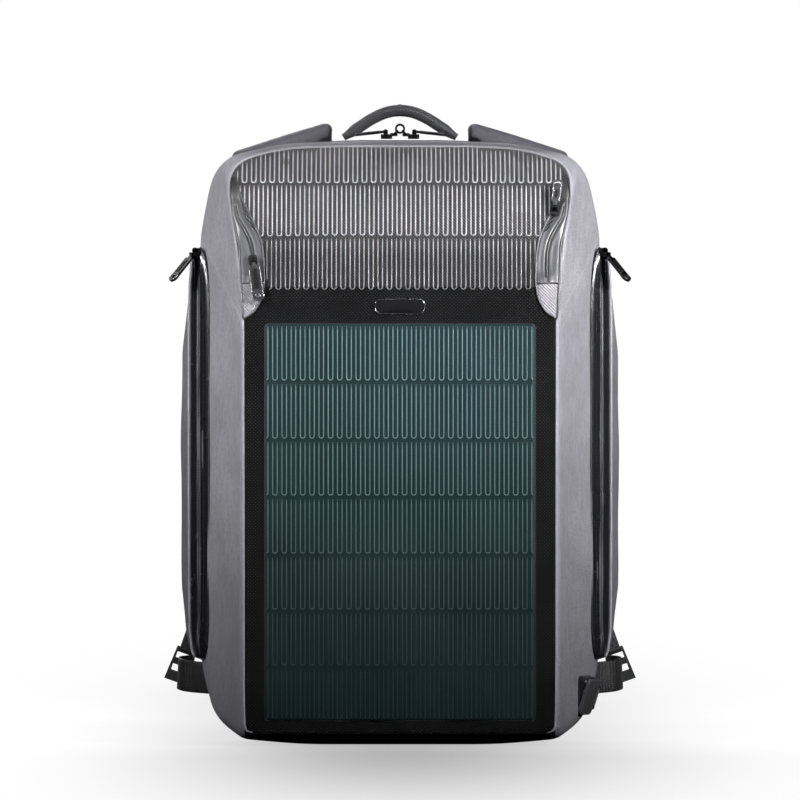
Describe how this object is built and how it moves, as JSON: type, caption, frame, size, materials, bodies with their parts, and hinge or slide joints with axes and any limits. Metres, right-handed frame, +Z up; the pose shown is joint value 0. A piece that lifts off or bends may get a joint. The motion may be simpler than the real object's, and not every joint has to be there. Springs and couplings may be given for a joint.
{
  "type": "solar backpack",
  "caption": "Structured laptop backpack with a solar panel on its front, a top flap with a double zip, side zip pockets, corner zip pockets, padded straps, a grab handle and a covered USB port",
  "frame": {"origin": "centre of the flat base on the ground, under the middle of the bag's front and back widths", "axes": "+Z up, the front with the solar panel faces -Y, +X is to the right seen from the front"},
  "size_m": [0.3662, 0.2339, 0.491],
  "materials": {
    "grey_twill": "Grey polyester twill with a soft satin sheen",
    "black_mesh_fabric": "Black diamond-weave fabric",
    "pattern_fabric": "Dark weave with raised silver-grey hairpin lines",
    "solar_film": "Dark teal embossed cover film",
    "solar_cell": "Thin dark blue-green cells",
    "backing_sheet": "Black carrier sheet",
    "coated_zip_tape": "Satin water-resistant coated zip tape and piping",
    "carbon_patch": "Twill garage patch",
    "webbing": "Black flat webbing",
    "handle_weave": "Black tubular handle weave",
    "spacer_mesh": "Black air mesh over foam",
    "lining_cloth": "Plain grey lining cloth",
    "acetal_black": "Moulded black acetal",
    "gloss_black_plastic": "Polished black plastic",
    "usb_rubber": "Matt black rubber cover",
    "usb_bezel": "Satin black moulding with a bright edge",
    "contact_steel": "Plated steel socket shell",
    "cable_jacket": "Black PVC lead",
    "black_nickel": "Dark nickel plated zinc"
  },
  "bodies": {
    "bag": {"base_panel": "black_mesh_fabric", "front_panel": "black_mesh_fabric", "side_panel_left": "grey_twill", "side_panel_right": "grey_twill", "back_panel": "grey_twill", "front_fabric_lower": "black_mesh_fabric", "solar_backing": "backing_sheet", "solar_cells": "solar_cell", "solar_cover_film": "solar_film", "main_zip_tape_rear": "coated_zip_tape", "rear_piping": "coated_zip_tape", "side_pocket_left": "grey_twill", "side_pocket_right": "grey_twill", "side_zip_tape_left": "coated_zip_tape", "side_zip_tape_right": "coated_zip_tape", "handle_anchor_patches": "webbing", "back_pads": "spacer_mesh", "strap_yoke": "grey_twill", "lower_webbing_left": "webbing", "lower_webbing_right": "webbing", "webbing_anchors": "webbing", "usb_housing": "usb_bezel", "usb_socket": "contact_steel", "charge_controller": "gloss_black_plastic", "charge_cable": "cable_jacket", "cable_clips": "acetal_black", "inner_lining": "lining_cloth", "laptop_sleeve": "lining_cloth", "sleeve_strap": "webbing"},
    "top_flap": {"flap_front_panel": "black_mesh_fabric", "flap_side_left": "grey_twill", "flap_side_right": "grey_twill", "front_fabric_upper": "pattern_fabric", "badge_plate": "gloss_black_plastic", "main_zip_tape_front": "coated_zip_tape", "top_piping": "coated_zip_tape", "corner_zip_tape_left": "coated_zip_tape", "corner_zip_tape_right": "coated_zip_tape", "corner_zip_patches": "carbon_patch"},
    "grab_handle": {"grab_handle": "handle_weave"},
    "shoulder_strap_left": {"shoulder_pad_left": "grey_twill", "lock_webbing_left": "webbing", "ladder_lock_left": "acetal_black"},
    "shoulder_strap_right": {"shoulder_pad_right": "grey_twill", "lock_webbing_right": "webbing", "ladder_lock_right": "acetal_black"},
    "usb_cover": {"usb_cover": "usb_rubber"},
    "main_slider_left": {"main_slider_left": "black_nickel"},
    "main_pull_left": {"main_pull_left": "black_nickel"},
    "main_slider_right": {"main_slider_right": "black_nickel"},
    "main_pull_right": {"main_pull_right": "black_nickel"},
    "side_slider_left": {"side_slider_left": "black_nickel"},
    "side_pull_left": {"side_pull_left": "black_nickel"},
    "side_slider_right": {"side_slider_right": "black_nickel"},
    "side_pull_right": {"side_pull_right": "black_nickel"},
    "corner_slider_left": {"corner_slider_left": "black_nickel"},
    "corner_pull_left": {"corner_pull_left": "black_nickel"},
    "corner_slider_right": {"corner_slider_right": "black_nickel"},
    "corner_pull_right": {"corner_pull_right": "black_nickel"}
  },
  "joints": [
    {"name": "top_flap_fold", "type": "hinge", "parent": "bag", "child": "top_flap", "pos_m": [0, -0.092, 0.325], "axis": [1, 0, 0], "range_deg": [0, 45]},
    {"name": "grab_handle_swing", "type": "hinge", "parent": "bag", "child": "grab_handle", "pos_m": [0, 0.05, 0.4666], "axis": [1, 0, 0], "range_deg": [-30, 15], "stiffness_Nm_per_rad": 0.15},
    {"name": "shoulder_strap_left_swing", "type": "hinge", "parent": "bag", "child": "shoulder_strap_left", "pos_m": [0, 0.0885, 0.434], "axis": [1, 0, 0], "range_deg": [0, 14]},
    {"name": "shoulder_strap_right_swing", "type": "hinge", "parent": "bag", "child": "shoulder_strap_right", "pos_m": [0, 0.0885, 0.434], "axis": [1, 0, 0], "range_deg": [0, 14]},
    {"name": "main_slider_left_travel", "type": "slide", "parent": "top_flap", "child": "main_slider_left", "axis": [-1, 0, 0], "range_m": [0, 0.07]},
    {"name": "main_slider_right_travel", "type": "slide", "parent": "top_flap", "child": "main_slider_right", "axis": [1, 0, 0], "range_m": [0, 0.07]},
    {"name": "main_pull_left_swing", "type": "hinge", "parent": "main_slider_left", "child": "main_pull_left", "pos_m": [-0.011, 0.02429, 0.46956], "axis": [0, 0.995, 0.0995], "range_deg": [0, 90]},
    {"name": "main_pull_right_swing", "type": "hinge", "parent": "main_slider_right", "child": "main_pull_right", "pos_m": [0.011, 0.02429, 0.46956], "axis": [0, -0.995, -0.0995], "range_deg": [0, 90]},
    {"name": "side_pull_left_swing", "type": "hinge", "parent": "side_slider_left", "child": "side_pull_left", "pos_m": [-0.15885, -0.02487, 0.3745], "axis": [-0.615, 0.7885, 0], "range_deg": [-35, 80]},
    {"name": "side_pull_right_swing", "type": "hinge", "parent": "side_slider_right", "child": "side_pull_right", "pos_m": [0.15885, -0.02487, 0.3745], "axis": [-0.615, -0.7885, 0], "range_deg": [-35, 80]},
    {"name": "side_slider_left_travel", "type": "slide", "parent": "bag", "child": "side_slider_left", "axis": [0, 0, -1], "range_m": [0, 0.26]},
    {"name": "side_slider_right_travel", "type": "slide", "parent": "bag", "child": "side_slider_right", "axis": [0, 0, -1], "range_m": [0, 0.26]},
    {"name": "corner_slider_left_travel", "type": "slide", "parent": "top_flap", "child": "corner_slider_left", "axis": [-0.1381, 0.3099, 0.9407], "range_m": [0, 0.04]},
    {"name": "corner_pull_left_swing", "type": "hinge", "parent": "corner_slider_left", "child": "corner_pull_left", "pos_m": [-0.1116, -0.09109, 0.36919], "axis": [-0.9904, -0.0432, -0.1312], "range_deg": [0, 120]},
    {"name": "corner_slider_right_travel", "type": "slide", "parent": "top_flap", "child": "corner_slider_right", "axis": [-0.1381, -0.3099, -0.9407], "range_m": [0, 0.04]},
    {"name": "corner_pull_right_swing", "type": "hinge", "parent": "corner_slider_right", "child": "corner_pull_right", "pos_m": [0.1176, -0.07774, 0.40969], "axis": [0.9904, -0.0432, -0.1312], "range_deg": [0, 120]},
    {"name": "usb_cover_swing", "type": "hinge", "parent": "bag", "child": "usb_cover", "pos_m": [0.14962, -0.03166, 0.03608], "axis": [0.2858, -0.1174, 0.9511], "range_deg": [0, 95]}
  ]
}
